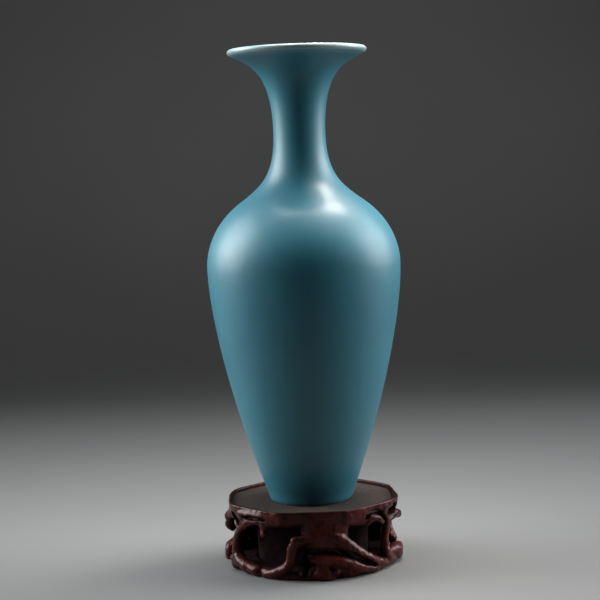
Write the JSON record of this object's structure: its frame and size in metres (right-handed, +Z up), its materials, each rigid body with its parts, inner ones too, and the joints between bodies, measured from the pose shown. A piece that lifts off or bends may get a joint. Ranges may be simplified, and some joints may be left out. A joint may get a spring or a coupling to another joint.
{
  "type": "vase on carved stand",
  "caption": "Tall turquoise-glazed porcelain baluster vase with a flared white lip, standing loose on a carved dark wood root stand.",
  "frame": {"origin": "centre of the stand's underside, on the surface it stands on, on the vase's axis", "axes": "+Z up along the vase's axis; -Y is the front; +X is the viewer's right"},
  "size_m": [0.154, 0.154, 0.411],
  "materials": {
    "turquoise_glaze": "satin gloss",
    "white_glaze": "gloss",
    "biscuit": "matte",
    "carved_wood": "gloss lacquer",
    "seat_wood": "matte"
  },
  "bodies": {
    "stand": {"seat_panel": "seat_wood", "rim_frame": "carved_wood", "apron": "carved_wood", "stand_core": "carved_wood", "front_base_rail": "carved_wood", "back_base_rail": "carved_wood", "front_trunk_root": "carved_wood", "front_left_root": "carved_wood", "front_right_root": "carved_wood", "front_lower_root": "carved_wood", "left_root": "carved_wood", "left_burl": "carved_wood", "left_side_root": "carved_wood", "left_foot": "carved_wood", "right_root": "carved_wood", "right_burl": "carved_wood", "right_side_root": "carved_wood", "right_foot": "carved_wood", "right_rear_root": "carved_wood", "back_trunk_root": "carved_wood", "back_left_root": "carved_wood", "back_right_root": "carved_wood"},
    "vase": {"lower_body": "biscuit", "upper_body": "biscuit", "neck": "biscuit", "mouth": "biscuit", "outer_glaze": "turquoise_glaze", "lip_glaze": "white_glaze", "inner_glaze": "white_glaze", "foot_well_glaze": "white_glaze"}
  },
  "joints": [
    {"name": "vase_lift", "type": "slide", "parent": "stand", "child": "vase", "axis": [0, 0, 1], "range_m": [0, 0.1]}
  ]
}
